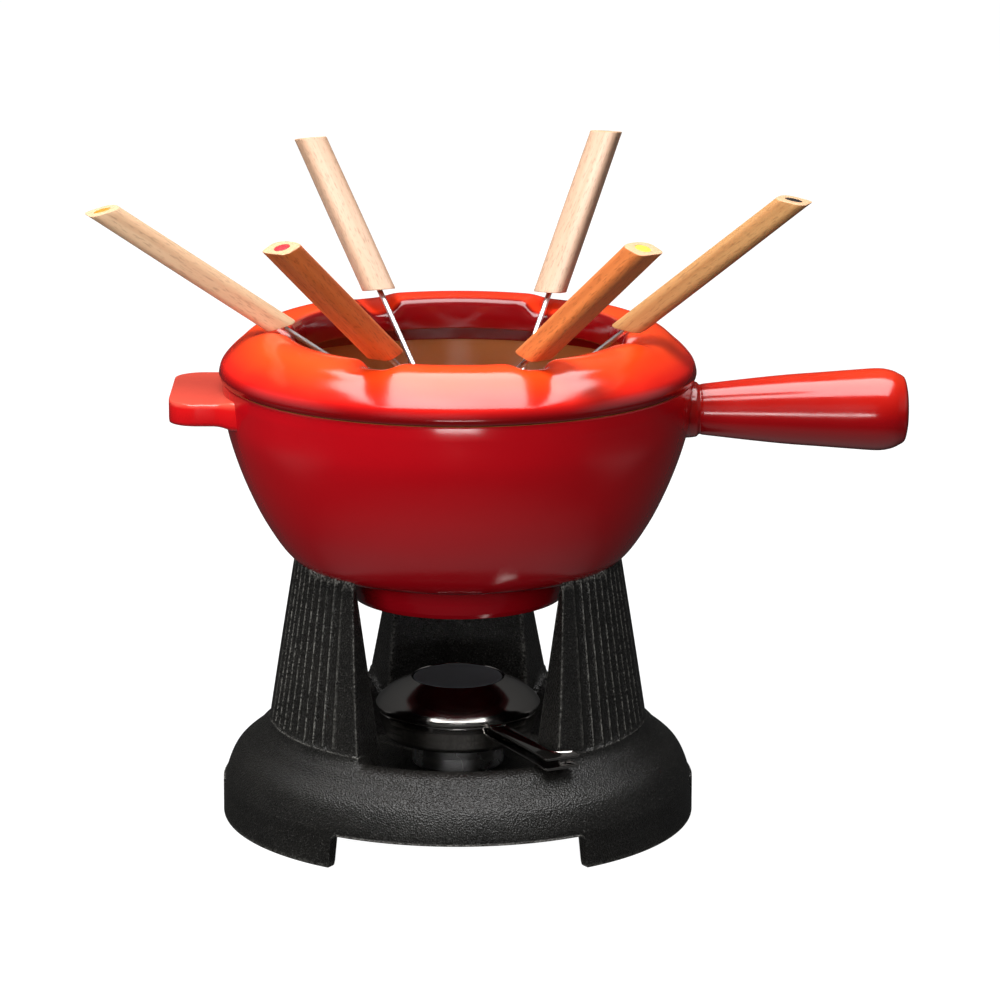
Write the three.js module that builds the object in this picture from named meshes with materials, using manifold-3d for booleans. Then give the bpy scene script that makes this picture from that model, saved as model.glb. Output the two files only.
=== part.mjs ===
// Fondue pot set: a cast iron stand with three fluted legs, an alcohol burner with a turning air
// regulator, an enamelled cast iron pot, a fork ring and six forks. Millimetres, +Z up.
// Heights are measured from the surface that the stand rests on. Azimuths are in degrees around the
// stand's axis, from the front (-Y) towards the right (+X).
import * as THREE from "three";
import { mergeVertices } from "three/addons/utils/BufferGeometryUtils.js";
import Module from "manifold-3d";

const wasm = await Module();
wasm.setup();

// Driving dimensions
const GAP = 0.3;
const STAND = { rimRadius: 112.4, crestRadius: 88, crestHeight: 43.5, wellRadius: 58, wellHeight: 21.5 };
const NOTCH = { height: 15.7, halfAngle: 32, azimuths: [0, 120, 240] };
const LEG = {
  footHeight: 47,
  topHeight: 132,
  outerFoot: 89.8,
  outerTaper: 0.1475,
  innerFoot: 69.7,
  innerTaper: 0.072,
  halfAngleFoot: 28.8,
  halfAngleTaper: 0.0898,
  fluteHalfAngleFoot: 19.3,
  fluteTaper: 0.032,
  fluteDepth: 1.1,
};
const FLUTE_CRESTS = 10;
const SIDES = 48;
const POT = { rimRadius: 110.5, rimHeight: 211.4, footRadius: 50.8, footHeight: 106 };
const HANDLE = { axisHeight: 195.2, tip: 211.6, neckRadius: 11.4, endRadius: 19.4 };
const LUG = { tip: 134.4, halfWidth: 37, low: 194.7, thickness: 10.8, cornerRadius: 12, bevel: 1.6 };
const RING = { outerRadius: 112, lipRadius: 77.2, skirtHeight: 211.8, crownHeight: 233.9 };
const REST = { depth: 6, halfAngle: 9, fadeFrom: 77, fadeTo: 102, lowest: 221, full: 228 };
const BURNER = { footRadius: 22, bowlRadius: 34.8, bowlHeight: 36, rimRadius: 38.2, rimHeight: 50 };
const HOOD = { rimRadius: 39.4, skirtLow: 50.4, mouthRadius: 21.9, mouthHeight: 65, thickness: 0.9 };
const GRIP = { azimuth: 26.5, reach: 100, halfWidth: 4.6, tabLength: 8.5, tabOverhang: 13.6, thickness: 1.2 };
const BOWL_GRIP_HEIGHT = 45.2;
const HOOD_GRIP_HEIGHT = 49.9;
const FORK = {
  handleLength: 103,
  width: 14.5,
  depth: 11.5,
  slant: 10,
  stemRadius: 1.3,
  reach: 118,
  tang: 20,
  dotRadius: 3.1,
  dotLength: 6,
};
const TINES = { length: 30, halfWidth: 3.4, prong: 1.7, thickness: 1.5, barb: 1 };

// Each fork: where its handle's lower end sits, how far its axis leans from the vertical, and how far
// the axis turns from the radial direction.
const FORKS = [
  { name: "front_left", azimuth: -25, radius: 77, height: 236.3, lean: 53.3, turn: -7.1, dot: 0xb5202a },
  { name: "front_right", azimuth: 23.6, radius: 84.3, height: 237.4, lean: 53.5, turn: 10.5, dot: 0xd9b21c },
  { name: "right", azimuth: 73.6, radius: 82.3, height: 238.9, lean: 50.6, turn: -6.5, dot: 0x1d1a18 },
  { name: "back_right", azimuth: 148.5, radius: 85, height: 237.3, lean: 49, turn: 9.4, dot: 0x2f7a3c },
  { name: "back_left", azimuth: -152, radius: 81, height: 238.5, lean: 52.5, turn: -2.5, dot: 0x2a4fa0 },
  { name: "left", azimuth: -89.5, radius: 83.5, height: 235.7, lean: 55, turn: 18.5, dot: 0xd9722a },
];

const rad = THREE.MathUtils.degToRad;
const v2 = (x, y) => new THREE.Vector2(x, y);
const v3 = (x, y, z) => new THREE.Vector3(x, y, z);

// A point at a radius, an azimuth in degrees and a height.
function polar(radius, azimuth, z) {
  return v3(radius * Math.sin(rad(azimuth)), -radius * Math.cos(rad(azimuth)), z);
}

// A smooth curve through [radius, height] points, as steps + 1 points.
function smooth(points, steps) {
  return new THREE.SplineCurve(points.map(([r, z]) => v2(r, z))).getPoints(steps);
}

const corners = (points) => points.map(([r, z]) => v2(r, z));

// A body of revolution about +Z from a profile of (radius, height).
function lathe(profile, segments) {
  return new THREE.LatheGeometry(profile, segments).rotateX(Math.PI / 2);
}

function solidOf(geometry) {
  const bare = geometry.index ? geometry.toNonIndexed() : geometry.clone();
  bare.deleteAttribute("normal");
  bare.deleteAttribute("uv");
  const merged = mergeVertices(bare, 1e-3);
  return new wasm.Manifold(
    new wasm.Mesh({
      numProp: 3,
      vertProperties: merged.attributes.position.array,
      triVerts: new Uint32Array(merged.index.array),
    }),
  );
}

function geometryOf(solid) {
  const mesh = solid.getMesh();
  const geometry = new THREE.BufferGeometry();
  geometry.setAttribute("position", new THREE.BufferAttribute(mesh.vertProperties, mesh.numProp));
  geometry.setIndex(new THREE.BufferAttribute(mesh.triVerts, 1));
  geometry.computeVertexNormals();
  return geometry;
}

function cut(geometry, ...tools) {
  return geometryOf(tools.reduce((solid, tool) => solid.subtract(solidOf(tool)), solidOf(geometry)));
}

function join(...pieces) {
  return geometryOf(pieces.map(solidOf).reduce((all, piece) => all.add(piece)));
}

// A closed body through a stack of outlines. Every outline has the same number of points, in order
// anticlockwise seen from above, and the two end outlines are capped.
function loft(outlines) {
  const count = outlines[0].length;
  const positions = outlines.flat().flatMap((p) => [p.x, p.y, p.z]);
  const index = [];
  for (let level = 0; level < outlines.length - 1; level++) {
    for (let i = 0; i < count; i++) {
      const a = level * count + i;
      const b = level * count + ((i + 1) % count);
      index.push(a, b, b + count, a, b + count, a + count);
    }
  }
  const flat = outlines[0].map((p) => v2(p.x, p.y));
  const top = (outlines.length - 1) * count;
  for (const [a, b, c] of THREE.ShapeUtils.triangulateShape(flat, [])) {
    index.push(c, b, a, top + a, top + b, top + c);
  }
  const geometry = new THREE.BufferGeometry();
  geometry.setAttribute("position", new THREE.Float32BufferAttribute(positions, 3));
  geometry.setIndex(index);
  return geometry;
}

// A flat plate from an outline in X and Y, between two heights.
function plate(outline, low, thickness) {
  const shape = new THREE.Shape(outline.map(([x, y]) => v2(x, y)));
  return new THREE.ExtrudeGeometry(shape, { depth: thickness, bevelEnabled: false }).translate(0, 0, low);
}

const cylinder = (radius, low, high, sides) =>
  new THREE.CylinderGeometry(radius, radius, high - low, sides)
    .rotateX(Math.PI / 2)
    .translate(0, 0, (low + high) / 2);

// Materials
const paint = (color, roughness, metalness) => () =>
  new THREE.MeshStandardMaterial({ color, roughness, metalness });
const castIron = paint(0x1b1a19, 0.62, 0.25);
const redEnamel = paint(0xa3141a, 0.18, 0);
const orangeEnamel = paint(0xe0401a, 0.18, 0);
const darkSteel = paint(0x3c3a3a, 0.15, 0.95);
const brightSteel = paint(0xc9c9cc, 0.18, 1);
const gauze = paint(0x3a3a3e, 0.6, 0.6);
const fibre = paint(0xd8d2c4, 0.95, 0);
const beech = paint(0xcf9a62, 0.55, 0);
const dotPaint = (color) => paint(color, 0.4, 0);

const set = new THREE.Group();

function add(name, geometry, material, parent = set) {
  const mesh = new THREE.Mesh(geometry, material());
  mesh.name = name;
  parent.add(mesh);
  return mesh;
}

// The stand's outside, from the foot over the shoulder and the crest into the burner's well. The
// offset grows it all round, for cutting the legs' feet.
function standTop(offset) {
  const { rimRadius, crestRadius, crestHeight, wellRadius, wellHeight } = STAND;
  const shoulder = smooth(
    [
      [rimRadius - 1 + offset, 12],
      [rimRadius - 1.8 + offset, 20],
      [rimRadius - 6.2 + offset * 0.7, 30 + offset * 0.7],
      [98.2 + offset * 0.7, 37 + offset * 0.7],
      [93.5 + offset * 0.5, 41.6 + offset * 0.8],
      [crestRadius, crestHeight + offset],
      [83, 42.6 + offset],
    ],
    9,
  );
  const well = smooth(
    [
      [76, 37.5 + offset],
      [68, 28 + offset],
      [wellRadius, wellHeight + offset],
    ],
    3,
  );
  return [...shoulder, ...well, v2(0, wellHeight + offset)];
}

function standBase() {
  const { rimRadius } = STAND;
  const underside = corners([
    [0, 16.3],
    [56, 16.3],
    [66, 21],
    [76, 31.5],
    [84, 37.2],
    [92, 35.8],
    [101, 28.5],
    [106.2, 19],
    [107, 0],
    [rimRadius, 0],
  ]);
  const body = lathe([...underside, ...standTop(0)], SIDES);
  const notches = NOTCH.azimuths.map((azimuth) => {
    const reach = STAND.rimRadius + 20;
    const arc = [-1, -0.5, 0, 0.5, 1].map((part) => polar(reach, azimuth + part * NOTCH.halfAngle, 0));
    return plate([[0, 0], ...arc.map((p) => [p.x, p.y])], -5, 5 + NOTCH.height);
  });
  return cut(body, ...notches);
}

// One outline of a leg at a height, as a ring sector with flutes across its outer face.
function legOutline(azimuth, z, outerRadius, fluteDepth) {
  const above = z - LEG.footHeight;
  const half = LEG.halfAngleFoot - LEG.halfAngleTaper * above;
  const fluted = LEG.fluteHalfAngleFoot - LEG.fluteTaper * above;
  const innerRadius = LEG.innerFoot + LEG.innerTaper * above;
  const outer = [polar(outerRadius, azimuth - half, z)];
  const steps = 2 * (FLUTE_CRESTS - 1);
  for (let i = 0; i <= steps; i++) {
    const depth = i % 2 ? fluteDepth : 0;
    outer.push(polar(outerRadius - depth, azimuth + fluted * ((2 * i) / steps - 1), z));
  }
  outer.push(polar(outerRadius, azimuth + half, z));
  const inner = [1, 0.6, 0.2, -0.2, -0.6, -1].map((part) => polar(innerRadius, azimuth + part * half, z));
  return [...outer, ...inner];
}

// A leg stands on the base's crest, flares at its foot, and ends under the pot's bowl.
function leg(azimuth) {
  const { footHeight, topHeight, outerFoot, outerTaper, fluteDepth } = LEG;
  const flare = [
    [26, 1.6],
    [43, 1.6],
    [44.8, 0.5],
    [footHeight, 0],
  ];
  const outlines = flare.map(([z, out]) => legOutline(azimuth, z, outerFoot + out, 0));
  for (const z of [footHeight + 2, topHeight]) {
    outlines.push(legOutline(azimuth, z, outerFoot - outerTaper * (z - footHeight), fluteDepth));
  }
  const foot = lathe([v2(0, 0), v2(STAND.rimRadius + GAP, 0), ...standTop(GAP)], SIDES);
  return cut(loft(outlines), foot, bowlEnvelope(GAP));
}

// The pot's outer profile, from the edge of its foot ring to the rim.
function bowlProfile(offset) {
  const points = [
    [61, 121.2],
    [73.5, 124.2],
    [82.2, 130.6],
    [91.8, 145],
    [99.1, 160],
    [104.8, 175],
    [108.9, 190],
    [POT.rimRadius, 205],
  ];
  const profile = smooth(points, 9).map((p) => v2(p.x + offset, p.y - offset * 0.6));
  return [...profile, v2(POT.rimRadius + offset, POT.rimHeight)];
}

// Everything inside the pot's outer surface, as a solid of revolution.
function bowlEnvelope(offset) {
  const base = 120.6 - offset;
  return lathe([v2(0, base), v2(54, base), ...bowlProfile(offset), v2(0, POT.rimHeight)], SIDES);
}

function potBowl() {
  const { footRadius, footHeight, rimHeight, rimRadius } = POT;
  const foot = corners([
    [0, 116.5],
    [44.5, 116.2],
    [45.4, 108],
    [46.6, footHeight],
    [footRadius - 0.6, footHeight],
    [footRadius + 0.7, 107.6],
    [52.6, 113],
    [53.6, 119.2],
  ]);
  const inside = smooth(
    [
      [rimRadius - 4.4, rimHeight - 6],
      [104.4, 188],
      [98.8, 171],
      [92.4, 156],
      [84.6, 142],
      [76, 132.6],
      [64, 127.6],
      [50, 126],
    ],
    9,
  );
  const rim = corners([
    [rimRadius - 0.8, rimHeight],
    [rimRadius - 4, rimHeight],
  ]);
  const outside = bowlProfile(0);
  outside[outside.length - 1] = v2(rimRadius, rimHeight - 0.9);
  return lathe([...foot, ...outside, ...rim, ...inside, v2(0, 125.6)], SIDES);
}

// The long handle: a flared bar on a small collar, with a flat end and a round edge.
function potHandle() {
  const { axisHeight, tip, neckRadius, endRadius } = HANDLE;
  const flare = smooth(
    [
      [neckRadius - 0.4, 114],
      [neckRadius + 0.5, 118],
      [14.8, 139],
      [17.5, 170],
      [endRadius, 197],
      [endRadius - 0.4, 204.4],
      [endRadius - 3.4, 209.8],
      [endRadius - 7.5, tip],
    ],
    12,
  );
  const profile = [v2(0, 100), v2(13.6, 100), v2(13.2, 111.5), v2(12.2, 112.8), ...flare, v2(0, tip)];
  const bar = new THREE.LatheGeometry(profile, 24)
    .rotateZ(-Math.PI / 2)
    .rotateX(Math.PI / 2)
    .translate(0, 0, axisHeight);
  return cut(bar, bowlEnvelope(GAP));
}

function potLug() {
  const { tip, halfWidth, low, thickness, cornerRadius, bevel } = LUG;
  const end = -tip + bevel;
  const side = halfWidth - bevel;
  const shape = new THREE.Shape();
  shape.moveTo(-90, side);
  shape.lineTo(end + cornerRadius + 2, side);
  shape.quadraticCurveTo(end + 1, side, end + 0.6, side - cornerRadius);
  shape.quadraticCurveTo(end - 0.6, 0, end + 0.6, cornerRadius - side);
  shape.quadraticCurveTo(end + 1, -side, end + cornerRadius + 2, -side);
  shape.lineTo(-90, -side);
  const slab = new THREE.ExtrudeGeometry(shape, {
    depth: thickness - 2 * bevel,
    bevelThickness: bevel,
    bevelSize: bevel,
    bevelSegments: 2,
    curveSegments: 5,
  }).translate(0, 0, low + bevel);
  return cut(slab, bowlEnvelope(GAP));
}

// How far the ring's top is pressed down at a point, for the rests that take the forks.
function restDip(x, y, z) {
  const radius = Math.hypot(x, y);
  const azimuth = THREE.MathUtils.radToDeg(Math.atan2(x, -y));
  const fade = 1 - THREE.MathUtils.smoothstep(radius, REST.fadeFrom, REST.fadeTo);
  const skin = THREE.MathUtils.smoothstep(z, REST.lowest, REST.full);
  const turns = FORKS.map((fork) => THREE.MathUtils.euclideanModulo(azimuth - fork.azimuth + 180, 360) - 180);
  const away = Math.min(...turns.map(Math.abs));
  return REST.depth * fade * skin * Math.exp(-((away / REST.halfAngle) ** 2));
}

function forkRing() {
  const { outerRadius, lipRadius, skirtHeight, crownHeight } = RING;
  const outside = smooth(
    [
      [outerRadius, 215],
      [110.7, 219],
      [107.3, 223.2],
      [103, 226.9],
      [98, 230.7],
      [92.6, 233.2],
      [87, crownHeight],
      [81.8, 233.2],
      [78.6, 231.8],
      [lipRadius, 229.2],
    ],
    10,
  );
  const inside = smooth(
    [
      [80.4, 226.6],
      [83.4, 229.6],
      [90, 229.9],
      [97.4, 227],
      [103, 221.8],
      [106.6, 216.4],
    ],
    5,
  );
  const bottom = corners([
    [lipRadius + 0.2, 218.2],
    [80, 218.2],
  ]);
  const skirt = corners([
    [105.4, 212.4],
    [105.2, 207.6],
    [102.6, 207.6],
    [102.8, skirtHeight + 2],
    [104.2, 214.6],
  ]);
  const seat = corners([
    [106.4, 213.2],
    [106.4, skirtHeight],
    [outerRadius, skirtHeight],
  ]);
  const profile = [...seat, ...outside, ...bottom, ...inside, ...skirt.reverse()];
  const ring = lathe([...profile, profile[0]], 60);
  const position = ring.attributes.position;
  for (let i = 0; i < position.count; i++) {
    const [x, y, z] = [position.getX(i), position.getY(i), position.getZ(i)];
    position.setZ(i, z - restDip(x, y, z));
  }
  return ring;
}

// Burner: a foot cup that stands in the well, the fuel bowl on it, and the hood over the bowl.
function burnerFoot() {
  const low = STAND.wellHeight + GAP;
  const high = BURNER.bowlHeight - GAP;
  const profile = corners([
    [0, low],
    [BURNER.footRadius - 1, low],
    [BURNER.footRadius, low + 1],
    [BURNER.footRadius, high - 0.8],
    [BURNER.footRadius - 0.4, high],
    [BURNER.footRadius - 1.2, high],
    [BURNER.footRadius - 1.2, low + 1.2],
    [0, low + 1.2],
  ]);
  return lathe(profile, 40);
}

function burnerBowl() {
  const { bowlRadius, bowlHeight, rimRadius, rimHeight } = BURNER;
  const profile = corners([
    [0, bowlHeight],
    [bowlRadius - 1.2, bowlHeight],
    [bowlRadius, bowlHeight + 1.2],
    [rimRadius - 0.6, rimHeight - 4],
    [rimRadius, rimHeight - 1],
    [rimRadius - 0.3, rimHeight],
    [rimRadius - 1.1, rimHeight],
    [bowlRadius - 1.2, bowlHeight + 2],
    [bowlRadius - 2, bowlHeight + 1.1],
    [0, bowlHeight + 1.1],
  ]);
  return lathe(profile, 40);
}

function burnerWick() {
  const low = BURNER.bowlHeight + 1.1 + GAP;
  const profile = corners([
    [0, low],
    [BURNER.bowlRadius - 2.8, low],
    [BURNER.bowlRadius - 2, low + 9],
    [BURNER.bowlRadius - 4, low + 11],
    [HOOD.mouthRadius - 1.6, low + 14],
    [HOOD.mouthRadius - 1.6, HOOD.mouthHeight - 1.6],
    [0, HOOD.mouthHeight - 1.6],
  ]);
  return lathe(profile, 32);
}

function burnerHood() {
  const { rimRadius, skirtLow, mouthRadius, mouthHeight, thickness } = HOOD;
  const outside = smooth(
    [
      [rimRadius - 0.6, 53.6],
      [34.7, 56.9],
      [29, 60.7],
      [mouthRadius + 0.8, mouthHeight],
    ],
    5,
  );
  const inside = outside.map((p) => v2(p.x - thickness * 0.5, p.y - thickness * 1.1)).reverse();
  const skirt = corners([
    [rimRadius - 0.8, skirtLow],
    [rimRadius, skirtLow],
    [rimRadius, 52.6],
  ]);
  const lip = corners([
    [mouthRadius + 0.3, mouthHeight],
    [mouthRadius, mouthHeight - 0.6],
  ]);
  const profile = [...skirt, ...outside, ...lip, ...inside.slice(1, -1), v2(rimRadius - 0.8, 52.4)];
  return lathe([...profile, profile[0]], 36);
}

// A sheet handle that runs out between the front legs and ends in a wide tab past the right leg.
function burnerGrip(rootRadius, low) {
  const { azimuth, reach, halfWidth, tabLength, tabOverhang, thickness } = GRIP;
  const out = v2(Math.sin(rad(azimuth)), -Math.cos(rad(azimuth)));
  const across = v2(-out.y, out.x);
  const at = (along, side) => [out.x * along + across.x * side, out.y * along + across.y * side];
  const outline = [
    at(rootRadius, -halfWidth),
    at(reach - 1.2, -halfWidth - 0.7),
    at(reach, -halfWidth + 0.4),
    at(reach, tabOverhang - 1.2),
    at(reach - 1.2, tabOverhang),
    at(reach - tabLength + 1.2, tabOverhang),
    at(reach - tabLength, halfWidth),
    at(rootRadius, halfWidth),
  ];
  return plate(outline, low, thickness);
}

// Fork, along +Z from the handle's lower end; +X is the crowned side that faces up.
function handleOutline() {
  const { width, depth } = FORK;
  const under = -depth / 2;
  const side = width / 2;
  const shape = new THREE.Shape();
  shape.moveTo(under, 2 - side);
  shape.quadraticCurveTo(under, -side, under + 2.2, -side);
  shape.lineTo(depth * 0.12, -side);
  shape.bezierCurveTo(depth * 0.42, 0.4 - side, depth / 2, -side * 0.45, depth / 2, 0);
  shape.bezierCurveTo(depth / 2, side * 0.45, depth * 0.42, side - 0.4, depth * 0.12, side);
  shape.lineTo(under + 2.2, side);
  shape.quadraticCurveTo(under, side, under, side - 2);
  return shape.getPoints(4);
}

// The height of a slanted end over a point of the section. Both ends have the same slant, so that the
// under side lies further out than the upper side.
const slantedEnd = (x, middle = FORK.handleLength) => middle - (FORK.slant * x) / FORK.depth;

function forkHandle() {
  const outline = handleOutline();
  const levels = [
    outline.map((p) => v3(p.x * 0.93, p.y * 0.95, slantedEnd(p.x * 0.93, 0))),
    outline.map((p) => v3(p.x, p.y, slantedEnd(p.x, 0.7))),
    outline.map((p) => v3(p.x, p.y, slantedEnd(p.x) - 0.7)),
    outline.map((p) => v3(p.x * 0.93, p.y * 0.95, slantedEnd(p.x * 0.93))),
  ];
  const tangHole = cylinder(FORK.stemRadius + GAP, -4, FORK.tang + GAP, 10);
  const dotHole = cylinder(FORK.dotRadius + GAP, FORK.handleLength - FORK.dotLength, FORK.handleLength + 9, 16);
  return cut(loft(levels), tangHole, dotHole);
}

function forkDot() {
  const sides = 16;
  const circle = Array.from({ length: sides }, (_, i) => {
    const turn = (2 * Math.PI * i) / sides;
    return v2(FORK.dotRadius * Math.cos(turn), FORK.dotRadius * Math.sin(turn));
  });
  const low = FORK.handleLength - FORK.dotLength + GAP;
  return loft([
    circle.map((p) => v3(p.x, p.y, low)),
    circle.map((p) => v3(p.x, p.y, slantedEnd(p.x) + 0.15)),
  ]);
}

// A steel stem with a tang in the handle and a flat head of two barbed tines.
function forkStem() {
  const { length, halfWidth, prong, thickness, barb } = TINES;
  const tip = -FORK.reach;
  const crotch = tip + length;
  const half = [
    [halfWidth - prong, tip + 5],
    [halfWidth - prong / 2, tip],
    [halfWidth, tip + 4],
    [halfWidth + barb, tip + 8.5],
    [halfWidth, tip + 8],
    [halfWidth, crotch],
    [FORK.stemRadius, crotch + 7],
  ];
  const inner = [0, crotch + 1.5];
  const outline = [
    [halfWidth - prong, crotch],
    ...half,
    ...half.map(([y, z]) => [-y, z]).reverse(),
    [prong - halfWidth, crotch],
    inner,
  ];
  const shape = new THREE.Shape(outline.map(([y, z]) => v2(y, z)));
  const head = new THREE.ExtrudeGeometry(shape, { depth: thickness, bevelEnabled: false })
    .translate(0, 0, -thickness / 2)
    .applyMatrix4(new THREE.Matrix4().makeBasis(v3(0, 1, 0), v3(0, 0, 1), v3(1, 0, 0)));
  return join(cylinder(FORK.stemRadius, crotch + 3, FORK.tang, 12), head);
}

// A group at the fork's place, with its +Z along the fork's axis and its +X turned upwards.
function forkPlace({ azimuth, radius, height, lean, turn }) {
  const heading = azimuth + turn;
  const axis = polar(Math.sin(rad(lean)), heading, Math.cos(rad(lean)));
  const upper = polar(-Math.cos(rad(lean)), heading, Math.sin(rad(lean)));
  const group = new THREE.Group();
  group.quaternion.setFromRotationMatrix(
    new THREE.Matrix4().makeBasis(upper, v3(0, 0, 0).crossVectors(axis, upper), axis),
  );
  group.position.copy(polar(radius, azimuth, height));
  return group;
}

add("stand_base", standBase(), castIron);
add("stand_leg_front_left", leg(-60), castIron);
add("stand_leg_front_right", leg(60), castIron);
add("stand_leg_rear", leg(180), castIron);

add("burner_foot_cup", burnerFoot(), brightSteel);
add("burner_fuel_bowl", burnerBowl(), darkSteel);
add("burner_bowl_handle", burnerGrip(BURNER.rimRadius, BOWL_GRIP_HEIGHT), darkSteel);
add("burner_wick", burnerWick(), fibre);
add("burner_gauze", cylinder(HOOD.mouthRadius - 0.5, HOOD.mouthHeight - 1.2, HOOD.mouthHeight, 40), gauze);
add("regulator_hood", burnerHood(), darkSteel);
add("regulator_handle", burnerGrip(HOOD.rimRadius + GAP, HOOD_GRIP_HEIGHT), darkSteel);

add("pot_bowl", potBowl(), redEnamel);
add("pot_handle", potHandle(), redEnamel);
add("pot_lug", potLug(), redEnamel);
add("fork_ring", forkRing(), orangeEnamel);

for (const fork of FORKS) {
  const place = forkPlace(fork);
  add(`fork_${fork.name}_handle`, forkHandle(), beech, place);
  add(`fork_${fork.name}_stem`, forkStem(), brightSteel, place);
  add(`fork_${fork.name}_dot`, forkDot(), dotPaint(fork.dot), place);
  set.add(place);
}

// The origin is the middle of the whole set's outline, on the surface that it stands on.
const box = new THREE.Box3().setFromObject(set, true);
set.position.set(-(box.min.x + box.max.x) / 2, -(box.min.y + box.max.y) / 2, 0);

export default set;
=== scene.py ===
"""Fondue pot set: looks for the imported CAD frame. Lengths in the tables are millimetres from the
stand's axis, and azimuths are degrees from the front (-Y) towards the right (+X)."""

import math

import bmesh
import bpy
import numpy as np
from mathutils import Matrix, Vector


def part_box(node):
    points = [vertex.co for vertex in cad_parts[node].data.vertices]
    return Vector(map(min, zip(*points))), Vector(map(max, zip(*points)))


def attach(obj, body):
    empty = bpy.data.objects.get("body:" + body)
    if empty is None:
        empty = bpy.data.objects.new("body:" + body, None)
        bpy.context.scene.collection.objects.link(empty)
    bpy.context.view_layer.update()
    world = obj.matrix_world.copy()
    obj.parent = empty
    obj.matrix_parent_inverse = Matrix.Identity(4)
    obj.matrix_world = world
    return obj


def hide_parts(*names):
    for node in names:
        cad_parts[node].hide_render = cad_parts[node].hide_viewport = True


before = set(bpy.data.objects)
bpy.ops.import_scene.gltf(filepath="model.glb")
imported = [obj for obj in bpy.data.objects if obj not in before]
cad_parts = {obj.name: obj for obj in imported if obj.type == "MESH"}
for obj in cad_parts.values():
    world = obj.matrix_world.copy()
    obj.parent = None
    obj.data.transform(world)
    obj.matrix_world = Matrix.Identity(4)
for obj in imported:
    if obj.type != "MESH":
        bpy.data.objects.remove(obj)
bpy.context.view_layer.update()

MM = 0.001
DEGREES = 57.3
# A fork handle's length, width and depth, and how far its ends slant from one side to the other.
HANDLE, WIDTH, DEPTH, SLANT = 103.0, 14.5, 11.5, 10.0
burner_low, burner_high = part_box("burner_fuel_bowl")
AXIS = Vector(((burner_low.x + burner_high.x) / 2, (burner_low.y + burner_high.y) / 2, 0))


# ---------------------------------------------------------------- camera and light
CAMERA_AT = (0, -2.0, 0.6376)
CAMERA_DOWN, CAMERA_ROLL, LENS = 13.67, -0.554, 156.6


def look_from():
    """A long lens in front of the stand's axis, looking a little down."""
    camera_data = bpy.data.cameras.new("camera")
    camera_data.lens = LENS
    camera_data.sensor_width = 36
    camera_data.clip_start = 0.1
    camera_data.clip_end = 60
    camera = bpy.data.objects.new("camera", camera_data)
    pitch = math.radians(90 - CAMERA_DOWN)
    turn = math.radians(CAMERA_ROLL)
    place = Matrix.Translation(AXIS + Vector(CAMERA_AT))
    camera.matrix_world = place @ Matrix.Rotation(pitch, 4, "X") @ Matrix.Rotation(turn, 4, "Y")
    bpy.context.scene.collection.objects.link(camera)
    bpy.context.scene.camera = camera


def soft_light(name, centre, aim, size, power, reflected=True, lit=True):
    """A rectangular light in metres and watts. It can be kept out of reflections, or show only there."""
    data = bpy.data.lights.new(name, "AREA")
    data.shape = "RECTANGLE"
    data.size, data.size_y = size
    data.energy = power
    light = bpy.data.objects.new(name, data)
    at = AXIS + Vector(centre)
    light.location = at
    light.rotation_euler = (AXIS + Vector(aim) - at).to_track_quat("-Z", "Y").to_euler()
    light.visible_glossy = reflected
    light.visible_diffuse = lit
    bpy.context.scene.collection.objects.link(light)


look_from()
soft_light("ceiling_panel", (0.03, -0.24, 1.2), (0.03, -0.24, 0), (1.4, 1.14), 46, lit=False)
soft_light("key", (-0.35, -0.42, 1.36), (0, 0, 0.22), (0.98, 0.42), 30, reflected=False)
soft_light("front_fill", (-0.7, -2.6, 0.9), (0, 0, 0.15), (2.0, 1.2), 62, reflected=False)
soft_light("left_side", (-1.5, -0.25, 0.55), (0, 0, 0.14), (0.35, 1.1), 4, reflected=False)
soft_light("right_side", (1.6, -0.1, 0.55), (0, 0, 0.14), (0.3, 1.1), 2.2, reflected=False)
soft_light("low_front", (0.0, -1.1, 0.10), (0, 0, 0.06), (0.36, 0.13), 2.0, lit=False)
soft_light("back_light", (0.1, 1.3, 1.5), (0, 0, 0.2), (1.5, 0.6), 24, reflected=False)


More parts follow.
